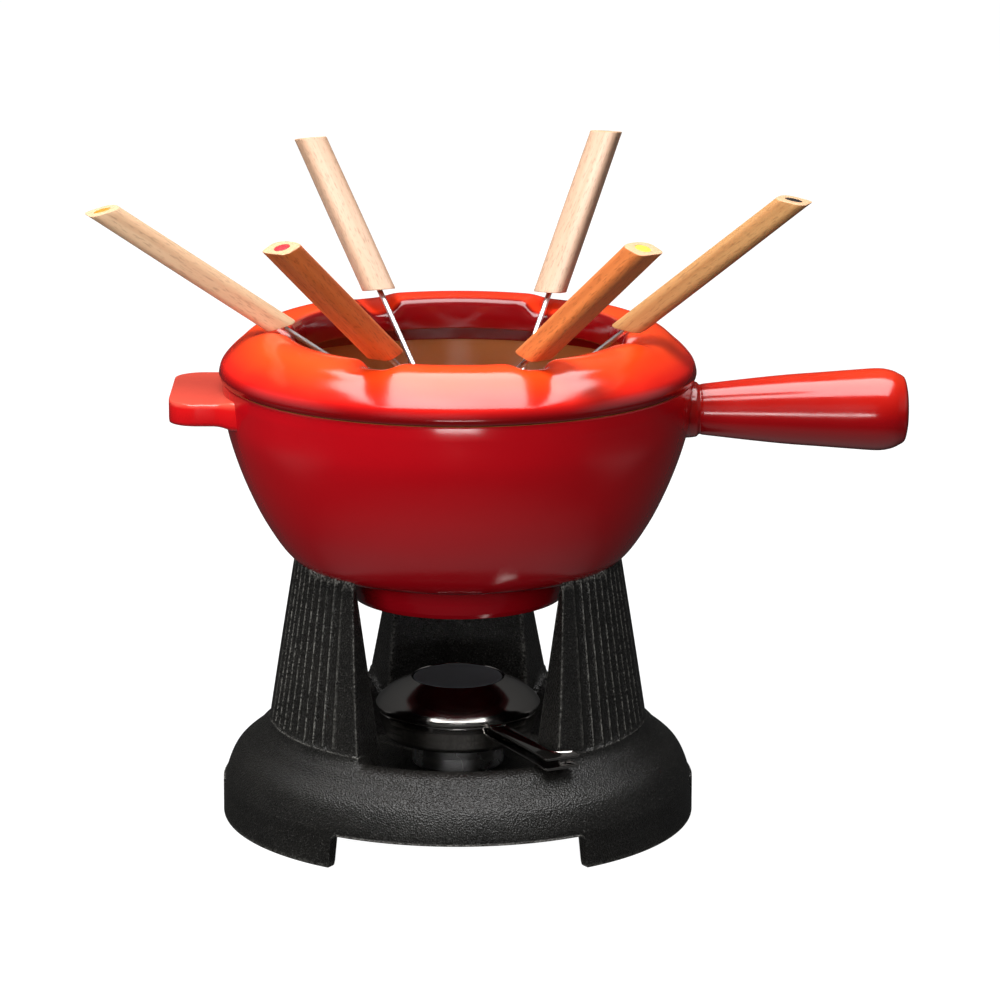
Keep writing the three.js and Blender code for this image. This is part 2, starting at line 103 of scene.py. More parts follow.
def room():
    """A dark studio, a little pale straight down, above, and low at the two sides."""
    world = bpy.data.worlds.new("studio")
    bpy.context.scene.world = world
    world.use_nodes = True
    tree = world.node_tree
    direction = tree.nodes.new("ShaderNodeTexCoord").outputs["Generated"]
    parts = tree.nodes.new("ShaderNodeSeparateXYZ")
    tree.links.new(direction, parts.inputs[0])
    ramp = tree.nodes.new("ShaderNodeValToRGB")
    half = tree.nodes.new("ShaderNodeMapRange")
    tree.links.new(parts.outputs["Z"], half.inputs["Value"])
    half.inputs["From Min"].default_value = -1
    tree.links.new(half.outputs[0], ramp.inputs["Fac"])
    steps = ramp.color_ramp.elements
    stops = ((0.0, 0.36), (0.06, 0.28), (0.16, 0.05), (0.5, 0.03), (0.62, 0.06), (1.0, 0.12))
    while len(steps) < len(stops):
        steps.new(0.5)
    for step, (position, value) in zip(steps, stops):
        step.position = position
        step.color = (value, value, value, 1)

    def away_from(value, middle, near, far, most):
        """0 within near of the middle, and most from far of it on."""
        shift = tree.nodes.new("ShaderNodeMath")
        shift.operation = "SUBTRACT"
        tree.links.new(value, shift.inputs[0])
        shift.inputs[1].default_value = middle
        size = tree.nodes.new("ShaderNodeMath")
        size.operation = "ABSOLUTE"
        tree.links.new(shift.outputs[0], size.inputs[0])
        span = tree.nodes.new("ShaderNodeMapRange")
        span.interpolation_type = "SMOOTHSTEP"
        tree.links.new(size.outputs[0], span.inputs["Value"])
        span.inputs["From Min"].default_value = near
        span.inputs["From Max"].default_value = far
        span.inputs["To Max"].default_value = most
        return span.outputs[0]

    sides = tree.nodes.new("ShaderNodeMath")
    sides.operation = "MULTIPLY"
    tree.links.new(away_from(parts.outputs["X"], 0.0, 0.78, 0.97, 0.45), sides.inputs[0])
    tree.links.new(away_from(parts.outputs["Z"], -0.2, 0.12, 0.34, 1.0), sides.inputs[1])
    total = tree.nodes.new("ShaderNodeVectorMath")
    tree.links.new(ramp.outputs["Color"], total.inputs[0])
    tree.links.new(sides.outputs[0], total.inputs[1])
    tree.links.new(total.outputs[0], tree.nodes["Background"].inputs["Color"])
    tree.nodes["Background"].inputs["Strength"].default_value = 1.0


room()
bpy.context.scene.view_settings.view_transform = "Standard"


# ---------------------------------------------------------------- node helpers
class Shade:
    """A material made of nodes around one Principled shader."""

    def __init__(self, name, place=None, **values):
        self.material = bpy.data.materials.new(name)
        self.material.use_nodes = True
        self.tree = self.material.node_tree
        self.shader = self.tree.nodes["Principled BSDF"]
        for key, value in values.items():
            self.shader.inputs[key.replace("_", " ")].default_value = value
        self.coords = self.tree.nodes.new("ShaderNodeTexCoord").outputs["Object"]
        if place is not None:
            turned_back = self.node("Mapping", {"vector_type": "TEXTURE"}, Vector=self.coords)
            turned_back.inputs["Location"].default_value = place.translation
            turned_back.inputs["Rotation"].default_value = place.to_euler()
            self.coords = turned_back.outputs[0]

    def node(self, kind, settings=None, **inputs):
        made = self.tree.nodes.new("ShaderNode" + kind)
        for key, value in (settings or {}).items():
            setattr(made, key, value)
        for key, value in inputs.items():
            self.put(value, made.inputs[key.replace("_", " ")])
        return made

    def put(self, value, socket):
        if isinstance(value, bpy.types.NodeSocket):
            self.tree.links.new(value, socket)
        else:
            socket.default_value = value

    def scaled(self, x, y, z, move=(0, 0, 0)):
        return self.node("Mapping", Vector=self.coords, Scale=(x, y, z), Location=move).outputs[0]

    def noise(self, scale, detail=3.0, vector=None, rough=0.5, distortion=0.0):
        made = self.node("TexNoise", Vector=vector or self.coords, Scale=scale, Detail=detail)
        made.inputs["Roughness"].default_value = rough
        made.inputs["Distortion"].default_value = distortion
        return made.outputs["Fac"]

    def ramp(self, factor, *stops):
        made = self.node("ValToRGB", Fac=factor)
        steps = made.color_ramp.elements
        while len(steps) < len(stops):
            steps.new(0.5)
        for step, (position, color) in zip(steps, stops):
            step.position = position
            step.color = (*color, 1) if isinstance(color, tuple) else (color, color, color, 1)
        return made.outputs["Color"]

    def mix(self, factor, a, b, blend="MIX"):
        made = self.node("Mix", {"data_type": "RGBA", "blend_type": blend})
        for socket, value in zip((made.inputs[0], made.inputs[6], made.inputs[7]), (factor, a, b)):
            if isinstance(value, tuple):
                value = (*value, 1)
            self.put(value, socket)
        return made.outputs[2]

    def math(self, operation, a, b=0.0, c=0.0, clamp=False):
        made = self.node("Math", {"operation": operation, "use_clamp": clamp})
        for socket, value in zip(made.inputs, (a, b, c)):
            self.put(value, socket)
        return made.outputs[0]

    def axis(self, name, vector=None):
        return self.node("SeparateXYZ", Vector=vector or self.coords).outputs[name]

    def span(self, value, low, high, to_low=0.0, to_high=1.0):
        made = self.node("MapRange", Value=value)
        for socket, number in zip(made.inputs[1:5], (low, high, to_low, to_high)):
            socket.default_value = number
        return made.outputs[0]

    def color(self, value):
        self.put((*value, 1) if isinstance(value, tuple) else value, self.shader.inputs["Base Color"])
        return self

    def rough(self, value):
        self.put(value, self.shader.inputs["Roughness"])
        return self

    def bump(self, height, strength, distance=MM):
        made = self.node("Bump", Height=height)
        made.inputs["Strength"].default_value = strength
        made.inputs["Distance"].default_value = distance
        old = self.shader.inputs["Normal"]
        if old.links:
            self.tree.links.new(old.links[0].from_socket, made.inputs["Normal"])
        self.tree.links.new(made.outputs[0], old)
        return self

    def from_axis(self):
        """Distance from the stand's axis, in metres."""
        flat = self.node("VectorMath", {"operation": "SUBTRACT"})
        self.put(self.coords, flat.inputs[0])
        flat.inputs[1].default_value = AXIS
        level = self.node("VectorMath", {"operation": "MULTIPLY"})
        self.put(flat.outputs[0], level.inputs[0])
        level.inputs[1].default_value = (1, 1, 0)
        return self.node("VectorMath", {"operation": "LENGTH"}, Vector=level.outputs[0]).outputs["Value"]


# ---------------------------------------------------------------- materials
def enamel(name, color_of):
    s = Shade(name, IOR=1.5)
    ripple = s.noise(38, 2.0)
    peel = s.noise(420, 2.0)
    tone = s.span(s.noise(9, 3.0), 0.3, 0.7, 0.94, 1.05)
    s.color(s.mix(1.0, color_of(s), s.node("CombineXYZ", X=tone, Y=tone, Z=tone).outputs[0], "MULTIPLY"))
    s.rough(s.span(s.noise(60, 4.0), 0.3, 0.7, 0.13, 0.2))
    s.bump(ripple, 0.25, 0.6 * MM)
    s.bump(peel, 0.06, 0.12 * MM)
    return s.material


def pot_color(s):
    # Darker at the foot and a little darker just under the ring: painted shade on the bowl.
    return s.ramp(
        s.span(s.axis("Z"), 0.106, 0.212),
        (0.0, (0.24, 0.002, 0.006)),
        (0.18, (0.31, 0.0025, 0.007)),
        (0.55, (0.40, 0.002, 0.006)),
        (1.0, (0.38, 0.002, 0.006)),
    )


def handle_color(s):
    # Dark red underneath, lighter and more orange on top: painted shade and painted light across the round
    # bar.
    return s.ramp(
        s.span(s.axis("Z"), 0.176, 0.214),
        (0.0, (0.22, 0.001, 0.004)),
        (0.45, (0.30, 0.002, 0.004)),
        (0.8, (0.52, 0.010, 0.004)),
        (1.0, (0.62, 0.03, 0.005)),
    )


def lug_color(s):
    # Darker at the bottom, lighter and pinker at the top: painted shade below and a painted highlight along
    # the tab's top.
    return s.ramp(
        s.span(s.axis("Z"), 0.1945, 0.2058),
        (0.0, (0.40, 0.003, 0.006)),
        (0.75, (0.56, 0.006, 0.007)),
        (1.0, (0.62, 0.075, 0.045)),
    )


def ring_color(s):
    wobble = s.span(s.noise(30, 3.0), 0.3, 0.7, -0.05, 0.05)
    # Red low on the ring to orange on its top: partly the enamel's own red-to-orange gradient, partly painted
    # light where the top is most brightly lit.
    outside = s.ramp(
        s.math("ADD", s.span(s.axis("Z"), 0.212, 0.232), wobble),
        (0.0, (0.40, 0.003, 0.006)),
        (0.25, (0.62, 0.006, 0.006)),
        (0.5, (0.72, 0.016, 0.006)),
        (0.8, (0.82, 0.042, 0.006)),
        (1.0, (0.84, 0.055, 0.007)),
    )
    # Redder towards the back of the ring: painted shade where its top is less lit.
    back = s.span(s.axis("Y"), 0.045, 0.095, 0.0, 0.75)
    outside = s.mix(back, outside, (0.50, 0.006, 0.006))
    # The inner wall and the skirt underneath are darkened: painted shade.
    inner = s.math("MAXIMUM", s.span(s.from_axis(), 0.0815, 0.0790), s.span(s.axis("Z"), 0.2200, 0.2150))
    return s.mix(inner, outside, (0.15, 0.001, 0.002))


def inside_color(s):
    return s.ramp(s.span(s.axis("Z"), 0.126, 0.211), (0.0, (0.36, 0.082, 0.010)), (1.0, (0.40, 0.15, 0.045)))


def cast_iron():
    """Seasoned iron: fine pale specks that are painted glints, and crests and edges painted pale as a painted
    highlight.
    """
    s = Shade("black_cast_iron", IOR=1.4)
    grain = s.node("TexVoronoi", {"feature": "F1"}, Vector=s.coords, Scale=1150.0)
    fine = s.noise(1500, 3.0, rough=0.7)
    broad = s.noise(55, 4.0)
    # Crests and sharp edges painted pale: a painted highlight.
    crest = s.span(s.node("NewGeometry").outputs["Pointiness"], 0.507, 0.54)
    crest = s.math("MULTIPLY", crest, s.span(s.noise(900, 4.0), 0.42, 0.62, 0.0, 0.8))
    iron = s.ramp(broad, (0.3, (0.0036, 0.0034, 0.0030)), (0.7, (0.0070, 0.0066, 0.0058)))
    # Pale specks in the colour: painted glints.
    speck = s.span(fine, 0.58, 0.68, 0.0, 0.8)
    iron = s.mix(speck, iron, (0.075, 0.073, 0.068))
    s.color(s.mix(crest, iron, (0.17, 0.165, 0.15)))
    s.rough(s.span(fine, 0.3, 0.7, 0.23, 0.38))
    s.bump(grain.outputs["Distance"], 0.9, 0.35 * MM)
    s.bump(fine, 0.6, 0.2 * MM)
    s.bump(broad, 0.2, 0.5 * MM)
    return s.material


def steel(name, tone, rough, streak):
    s = Shade(name, Metallic=1.0)
    brushed = s.noise(90, 3.0, s.scaled(1, 1, streak))
    s.color(s.ramp(s.noise(25, 2.0), (0.3, tuple(c * 0.88 for c in tone)), (0.7, tone)))
    s.rough(s.span(brushed, 0.3, 0.7, rough * 0.8, rough * 1.3))
    s.bump(brushed, 0.08, 0.05 * MM)
    s.bump(s.noise(35, 2.0), 0.25, 0.4 * MM)
    return s.material


def gauze():
    s = Shade("woven_gauze", Metallic=0.7)
    wires = []
    for axis in "XY":
        wave = s.math("SINE", s.math("MULTIPLY", s.axis(axis), 2 * math.pi / (0.62 * MM)))
        wires.append(s.math("ABSOLUTE", wave))
    weave = s.math("MAXIMUM", *wires)
    s.color(s.mix(s.span(weave, 0.55, 0.95), (0.03, 0.03, 0.033), (0.24, 0.24, 0.265)))
    s.rough(s.span(weave, 0.5, 1.0, 0.75, 0.5))
    s.bump(weave, 0.7, 0.2 * MM)
    return s.material


def fibre():
    s = Shade("wick_fibre", Roughness=0.95)
    strands = s.noise(300, 5.0, s.scaled(1, 1, 4))
    s.color(s.ramp(strands, (0.3, (0.45, 0.42, 0.36)), (0.7, (0.78, 0.75, 0.68))))
    s.bump(strands, 0.8, 0.5 * MM)
    return s.material


def wood(name, place, pale, dark, seed):
    """Beech: long grain along the fork's own Z, short dark flecks, and end grain."""
    s = Shade(name, place, IOR=1.42)
    drift = (seed * 0.37, seed * 0.19, seed * 0.53)
    grain = s.noise(110, 6.0, s.scaled(1.0, 1.0, 0.045, drift), rough=0.62, distortion=0.25)
    rings = s.node("TexWave", {"wave_type": "BANDS", "bands_direction": "Y"})
    s.put(s.scaled(1.0, 1.0, 0.05, drift), rings.inputs["Vector"])
    for key, value in (("Scale", 75.0), ("Distortion", 5.0), ("Detail", 3.0), ("Detail Scale", 1.4)):
        rings.inputs[key].default_value = value
    flecks = s.noise(1300, 3.0, s.scaled(1.0, 1.0, 0.16, drift))
    base = s.mix(s.span(grain, 0.32, 0.72), dark, pale)
    base = s.mix(s.span(rings.outputs["Fac"], 0.2, 0.9, 0.0, 0.22), base, dark)
    fleck = s.span(flecks, 0.54, 0.68, 0.0, 0.5)
    base = s.mix(fleck, base, tuple(c * 0.5 for c in dark))
    along = s.math("MULTIPLY_ADD", s.axis("X"), SLANT / DEPTH, s.axis("Z"))
    near_end = s.span(along, (HANDLE - 0.7) * MM, (HANDLE - 0.3) * MM)
    end_grain = s.math("MULTIPLY", near_end, s.span(flecks, 0.3, 0.7, 1.0, 0.6))
    s.color(s.mix(end_grain, base, (0.56, 0.33, 0.19)))
    s.rough(s.span(grain, 0.3, 0.7, 0.62, 0.48))
    s.bump(flecks, 0.3, 0.15 * MM)
    s.bump(grain, 0.25, 0.2 * MM)
    return s.material


def dot_paint(name, tone):
    s = Shade(name, IOR=1.45)
    s.color(s.ramp(s.noise(900, 3.0), (0.35, tuple(c * 0.8 for c in tone)), (0.65, tone)))
    s.rough(s.span(s.noise(500, 2.0), 0.3, 0.7, 0.3, 0.45))
    s.bump(s.noise(700, 2.0), 0.2, 0.1 * MM)
    return s.material


def pale_floor():
    s = Shade("pale_floor", Roughness=0.9)
    s.shader.inputs["Specular IOR Level"].default_value = 0.0
    s.color(s.ramp(s.noise(3, 2.0), (0.3, (0.10, 0.10, 0.10)), (0.7, (0.11, 0.11, 0.11))))
    s.put((1, 1, 1, 1), s.shader.inputs["Emission Color"])
    s.shader.inputs["Emission Strength"].default_value = 1.0
    return s.material


IRON = cast_iron()
RED = enamel("red_enamel", pot_color)
RED_HANDLE = enamel("red_enamel_handle", handle_color)
RED_LUG = enamel("red_enamel_lug", lug_color)
# The ring's enamel: its orange top is partly painted light, and its back and inner wall carry painted shade.
ORANGE_ENAMEL_AND_PAINTED_LIGHT = enamel("orange_enamel", ring_color)
BROWN = enamel("brown_enamel_inside", inside_color)
DARK_STEEL = steel("dark_polished_steel", (0.46, 0.44, 0.42), 0.13, 1)
BRIGHT_STEEL = steel("bright_polished_steel", (0.82, 0.82, 0.83), 0.26, 1)
STEM_STEEL = steel("stem_steel", (0.86, 0.86, 0.87), 0.3, 0.08)
GAUZE = gauze()
FIBRE = fibre()


# ---------------------------------------------------------------- mesh helpers
def smooth(points, steps):
    """A uniform Catmull-Rom curve through the points, as steps + 1 points."""
    p = np.array(points, float)
    out = []
    for t in np.linspace(0, len(p) - 1, steps + 1):
        i = min(int(t), len(p) - 2)
        w = t - i
        a, b, c, d = p[max(i - 1, 0)], p[i], p[i + 1], p[min(i + 2, len(p) - 1)]
        v0, v1 = (c - a) / 2, (d - b) / 2
        out.append((2 * b - 2 * c + v0 + v1) * w**3 + (3 * c - 3 * b - 2 * v0 - v1) * w**2 + v0 * w + b)
    return np.array(out)


def rounded(points, radius, steps=4):
    """An open polyline with its inner corners rounded. A point may give its own radius as a third number."""
    out = [np.array(points[0][:2], float)]
    for before, here, after in zip(points, points[1:], points[2:]):
        r = here[2] if len(here) > 2 else radius
        b, h, a = (np.array(q[:2], float) for q in (before, here, after))
        u, v = b - h, a - h
        lu, lv = np.linalg.norm(u), np.linalg.norm(v)
        u, v = u / lu, v / lv
        half = math.acos(np.clip(u @ v, -1, 1)) / 2
        if r <= 0 or half > math.radians(88):
            out.append(h)
            continue
        reach = min(r / math.tan(half), lu * 0.49, lv * 0.49)
        start, end = h + u * reach, h + v * reach
        for t in np.linspace(0, 1, steps + 1):
            out.append((1 - t) ** 2 * start + 2 * t * (1 - t) * h + t**2 * end)
    out.append(np.array(points[-1][:2], float))
    return np.array(out)


def polar(radius, azimuth):
    a = np.radians(azimuth)
    return np.stack([radius * np.sin(a), -radius * np.cos(a)], -1)


def grid_faces(rows, columns, wrap_rows=False, wrap_columns=True):
    faces = []
    for i in range(rows if wrap_rows else rows - 1):
        for j in range(columns if wrap_columns else columns - 1):
            a, b = i * columns + j, i * columns + (j + 1) % columns
            c, d = (i + 1) % rows * columns + (j + 1) % columns, (i + 1) % rows * columns + j
            faces.append((a, b, c, d))
    return faces


def piece(name, verts, faces, body, material, slot, *nodes, sharp=38, local=None, parts=None):
    """A named mesh that rides on a body and stands for CAD nodes. local places it; otherwise the
    vertices are millimetres from the stand's axis. parts gives each face's material number."""
    mesh = bpy.data.meshes.new(name)
    points = np.array(verts, float) * MM
    if local is None:
        points = points + np.array(AXIS)
    else:
        turn = np.array(local)
        points = points @ turn[:3, :3].T + turn[:3, 3]
    mesh.from_pydata(points.tolist(), [], faces)
    materials = material if isinstance(material, (list, tuple)) else [material]
    for m in materials:
        mesh.materials.append(m)
    b = bmesh.new()
    b.from_mesh(mesh)
    if parts is not None:
        for face, part in zip(b.faces, parts):
            face.material_index = part
    bmesh.ops.remove_doubles(b, verts=b.verts, dist=1e-7)
    bmesh.ops.recalc_face_normals(b, faces=b.faces)
    b.to_mesh(mesh)
    b.free()
    mesh.shade_smooth()
    mesh.set_sharp_from_angle(angle=math.radians(sharp))
    made = bpy.data.objects.new(name, mesh)
    bpy.context.scene.collection.objects.link(made)
    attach(made, body)
    if nodes:
        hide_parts(*nodes)
    return made


def revolved(profile, columns=256, closed=False):
    """Vertices and faces of a body of revolution. Open profiles start and end on the axis."""
    turns = np.arange(columns) * 360 / columns
    rows = [np.column_stack([polar(r, turns), np.full(columns, z)]) for r, z in profile]
    return np.concatenate(rows), grid_faces(len(profile), columns, wrap_rows=closed)


def bridged(outlines, caps=True):
    """Vertices and faces through a stack of outlines with equal counts, with flat end caps."""
    count = len(outlines[0])
    faces = grid_faces(len(outlines), count)
    if caps:
        last = (len(outlines) - 1) * count
        faces.append(tuple(range(count))[::-1])
        faces.append(tuple(range(last, last + count)))
    return np.concatenate(outlines), faces


# ---------------------------------------------------------------- the stand
RIM, NOTCH_TOP, NOTCH_HALF = 112.4, 15.7, 32.0
SHOULDER = smooth(
    [(111.4, 12), (110.6, 20), (106.2, 30), (98.2, 37), (93.5, 41.6), (88, 43.5), (83, 42.6)], 60
)
WELL = smooth([(83, 42.6), (76, 37.5), (68, 28), (58, 21.5)], 24)
UNDERSIDE = smooth([(56, 16.3), (66, 21), (76, 31.5), (84, 37.2), (92, 35.8), (101, 28.5), (105.6, 21)], 40)
WELL_FLOOR = rounded([(58, 21.5), (40, 21.5), (25.5, 21.5, 0.4), (24.8, 21.1, 0.4), (10, 21.1)], 0.5)
NOTCH_CORNER, NOTCH_LEAN = 3.2, 0.9


def base_surface(radius):
    """Height of the stand's top surface at a radius between the well and the rim."""
    line = np.concatenate([SHOULDER, WELL[1:]])[::-1]
    return np.interp(radius, line[:, 0], line[:, 1])


def notch_height(azimuth):
    """Lower edge of the rim wall: high over the notches, with round corners, and 0 under the feet."""
    away = abs((azimuth + 60) % 120 - 60)
    inside = math.radians(NOTCH_HALF - away) * RIM
    corner = NOTCH_CORNER
    if inside <= -0.8:
        return 0.0
    if inside <= 0:
        return 0.8 - math.sqrt(max(0.64 - (inside + 0.8) ** 2, 0))
    lean = min(inside / NOTCH_LEAN, 1)
    if inside < corner + NOTCH_LEAN:
        x = max(inside - NOTCH_LEAN, 0) / corner
        return 0.8 + lean * (NOTCH_TOP - corner - 0.8) + corner * math.sqrt(max(1 - (1 - x) ** 2, 0))
    return NOTCH_TOP


def stand_base():
    """The base, in columns that crowd at the notches' ends and rows from its underside to the well."""
    even = np.arange(0, 360, 1.25)
    edges = []
    for notch in (0, 120, 240):
        for side in (-1, 1):
            bend = NOTCH_LEAN + NOTCH_CORNER * np.linspace(0.02, 1.05, 12) ** 1.6
            mm = np.concatenate([np.linspace(-NOTCH_LEAN, 1.0, 9), bend])
            edges.append((notch + side * (NOTCH_HALF - np.degrees(mm / RIM))) % 360)
    edges = np.concatenate(edges)
    near = np.abs((even[:, None] - edges[None] + 180) % 360 - 180).min(1) < 0.45
    turns = np.sort(np.concatenate([even[~near], edges]))
    low = np.array([notch_height(a) for a in turns])
    rows = []

    def row(radius, height):
        radius = np.broadcast_to(radius, turns.shape)
        height = np.broadcast_to(height, turns.shape)
        rows.append(np.column_stack([polar(radius, turns), height]))

    for r, z in UNDERSIDE:
        row(r, z)
    for t in np.linspace(0, 1, 7)[1:]:
        height = 21 + (low + 1.0 - 21) * t
        row(np.interp(height, [0, 21], [107, 105.6]), height)
    for turn in np.linspace(0, 90, 5)[1:]:
        a = math.radians(turn)
        row(107 + 1.0 * (1 - math.cos(a)), low + 1.0 * (1 - math.sin(a)))
    for turn in np.linspace(0, 90, 5):
        a = math.radians(turn)
        row(RIM - 0.7 * (1 - math.sin(a)), low + 0.7 * (1 - math.cos(a)))
    top = 20.0
    wall = np.concatenate([[[RIM, 0]], SHOULDER[:14]])
    for t in np.linspace(0, 1, 12)[1:]:
        height = (low + 0.7) + (top - low - 0.7) * t
        row(np.interp(height, wall[:, 1], wall[:, 0]), height)
    for r, z in SHOULDER[SHOULDER[:, 1] > top + 0.4]:
        row(r, z)
    for r, z in SHOULDER[35:]:
        if z < 43.2 and r < 88:
            row(r, z)
    for r, z in np.concatenate([WELL[1:], WELL_FLOOR[1:]]):
        row(r, z)
    verts = np.concatenate(rows)
    faces = grid_faces(len(rows), len(turns))
    faces.append(tuple(range(len(turns)))[::-1])
    faces.append(tuple(range((len(rows) - 1) * len(turns), len(rows) * len(turns))))
    piece("stand_base_body", verts, faces, "stand", IRON, "cast_iron_black", "stand_base", sharp=50)


BOWL = smooth(
    [(61, 121.2), (73.5, 124.2), (82.2, 130.6), (91.8, 145), (99.1, 160), (104.8, 175), (108.9, 190),
     (110.5, 205)],
    80,
)


def bowl_height(radius):
    """Height of the bowl's outer surface at a radius."""
    return np.interp(radius, np.concatenate([[54], BOWL[:, 0]]), np.concatenate([[120.6], BOWL[:, 1]]))


LEG_CORNER, LEG_BEND = 0.55, 1.6
FLUTES, FLUTE_DEPTH, FLUTE_STEPS = 9, 1.15, 10
FACE_FILLET, SIDE_FILLET = 4.5, 4.0
SEAT_GAP = 0.45


def leg_plan(z):
    """One leg's outline at a height, as (radius, azimuth away from its middle, fillet at its foot) rows."""
    above = z - 47
    half = 28.8 - 0.0898 * above
    fluted = 19.3 - 0.032 * above
    outer = 89.8 - 0.1475 * above
    inner = 69.7 + 0.072 * above
    fade = np.clip((z - 47.5) / 3.5, 0, 1)
    fade = math.sqrt(1 - (1 - fade) ** 2)
    corner = LEG_CORNER / 88 * DEGREES
    turn = LEG_BEND / inner * DEGREES
    columns = []

    def edge(t, side):
        """The round edge between the outer face and a side."""
        a = t * math.pi / 2
        out = outer - LEG_CORNER * (1 - math.cos(a))
        columns.append((out, side * (half - corner * (1 - math.sin(a))), SIDE_FILLET))

    def flank(t, side):
        columns.append((outer - 0.6 + (inner + 1.2 - outer) * t, side * half, SIDE_FILLET))

    def bend(t, side):
        a = t * math.pi / 2
        turned_in = side * (half - turn * (1 - math.cos(a)))
        columns.append((inner + LEG_BEND * (1 - math.sin(a)), turned_in, SIDE_FILLET))

    for t in np.linspace(0, 1, 9)[:-1]:
        columns.append((outer, -half + corner + (half - corner - fluted) * t, FACE_FILLET))
    pitch = 2 * fluted / FLUTES
    for groove in range(FLUTES):
        for step in range(FLUTE_STEPS):
            x = step / FLUTE_STEPS
            depth = FLUTE_DEPTH * (1 - abs(2 * x - 1) ** 2.2) * fade
            columns.append((outer - depth, -fluted + pitch * (groove + x), FACE_FILLET))
    for t in np.linspace(0, 1, 9):
        columns.append((outer, fluted + (half - corner - fluted) * t, FACE_FILLET))
    for t in np.linspace(0, 1, 5)[1:]:
        edge(t, 1)
    for t in np.linspace(0, 1, 9)[1:-1]:
        flank(t, 1)
    for t in np.linspace(0, 1, 5):
        bend(t, 1)
    for t in np.linspace(0, 1, 19)[1:-1]:
        columns.append((inner, (half - turn) * (1 - 2 * t), SIDE_FILLET))
    for t in np.linspace(1, 0, 5):
        bend(t, -1)
    for t in np.linspace(1, 0, 9)[1:-1]:
        flank(t, -1)
    for t in np.linspace(1, 0, 5)[:-1]:
        edge(t, -1)
    return np.array(columns)


def leg(name, node, azimuth):
    """A tapering leg with a filleted foot on the base and a top that follows the bowl."""
    plan = leg_plan(60)
    count = len(plan)

    def place(columns):
        return polar(columns[:, 0], azimuth + columns[:, 1])

    def outward(points):
        along = np.roll(points, -1, 0) - np.roll(points, 1, 0)
        normal = np.stack([along[:, 1], -along[:, 0]], 1)
        normal /= np.linalg.norm(normal, axis=1)[:, None] + 1e-9
        return normal

    plain = place(leg_plan(44))
    push = outward(plain)
    middle = plain.mean(0)
    push *= np.sign(((plain - middle) * push).sum(1).mean())
    rows = []
    for turn in np.linspace(0, 90, 13):
        a = math.radians(turn)
        spread = plan[:, 2] * (1 - math.sin(a))
        rise = plan[:, 2] * (1 - math.cos(a))
        points = plain + push * spread[:, None]
        ground = base_surface(np.linalg.norm(points, axis=1))
        rows.append(np.column_stack([points, ground + rise - 0.12]))
    start = rows[-1][:, 2]
    top_plan = place(leg_plan(122))
    top_radius = np.linalg.norm(top_plan, axis=1)
    top = bowl_height(top_radius) - SEAT_GAP
    heights = np.concatenate([np.linspace(0, 0.1, 14)[1:], np.linspace(0.1, 1, 30)[1:]])
    for t in heights:
        z = start + (top - start) * t
        points = np.empty((count, 2))
        for level in np.unique(np.round(z, 1)):
            here = np.abs(np.round(z, 1) - level) < 0.05
            points[here] = place(leg_plan(level))[here]
        rows.append(np.column_stack([points, z]))
    inner_top = rows[-1]
    centre = top_plan.mean(0)
    for share in (0.25, 0.5, 0.75):
        points = inner_top[:, :2] + (centre - inner_top[:, :2]) * share
        height = bowl_height(np.linalg.norm(points, axis=1)) - SEAT_GAP
        rows.append(np.column_stack([points, height]))
    verts, faces = bridged(rows)
    piece(name, verts, faces, "stand", IRON, "cast_iron_black", node, sharp=50)


stand_base()
leg("leg_front_left_body", "stand_leg_front_left", -60)
leg("leg_front_right_body", "stand_leg_front_right", 60)
leg("leg_rear_body", "stand_leg_rear", 180)


# ---------------------------------------------------------------- the pot
POT_COLUMNS = 256
HANDLE_HEIGHT = 195.2


def pot():
    """The bowl, whose inner faces take the second material."""
    foot = rounded(
        [(0.01, 116.4), (42, 116.4), (44.6, 116.0, 1.2), (45.4, 108), (46.4, 106.1, 1.0), (50.2, 106.1, 1.2),
         (51.5, 108.5), (52.6, 113), (53.6, 119.6, 2.5), (57, 120.8), (61, 121.2)], 1.6, 6)
    outside = BOWL[1:-1]
    rim = rounded([(110.5, 205), (110.5, 211.3, 0.8), (106.3, 211.3, 0.8), (106.1, 205.4)], 0.8, 5)
    inside = smooth(
        [(106.1, 205.4), (104.4, 188), (98.8, 171), (92.4, 156), (84.6, 142), (76, 132.6), (64, 127.6),
         (50, 126), (30, 125.7)],
        80,
    )[1:]
    profile = np.concatenate([foot, outside, rim, inside, [(0.01, 125.7)]])
    verts, faces = revolved(profile, POT_COLUMNS)
    inner_start = len(foot) + len(outside) + 4
    parts = [1 if face[0] // POT_COLUMNS >= inner_start else 0 for face in faces]
    piece("pot_body", verts, faces, "pot", [RED, BROWN], "red_enamel", "pot_bowl", parts=parts)


def pot_handle():
    """The long handle: a collar, then a bar that flares to a rounded end."""
    points = smooth(
        [(13.5, 107), (13.3, 110), (12.9, 112.2), (12.0, 113.2), (11.7, 114.0), (12.1, 115.4), (13.1, 124),
         (14.8, 139), (16.4, 155), (17.5, 170), (18.7, 186), (19.4, 197.5), (18.6, 203.6), (16.9, 207.6),
         (14.9, 210.3), (10.5, 211.5)],
        90,
    )
    flare = [(16.5, 103), (14.2, 105.6)]
    profile = np.concatenate([flare, points, [(6, 211.55), (0.01, 211.55)]])
    turns = np.radians(np.arange(0, 360, 3))
    rows = [
        np.column_stack([np.full(len(turns), x), r * np.cos(turns), HANDLE_HEIGHT + r * np.sin(turns)])
        for r, x in profile
    ]
    verts, faces = bridged(rows)
    piece("pot_long_handle", verts, faces, "pot", RED_HANDLE, "red_enamel", "pot_handle", sharp=60)


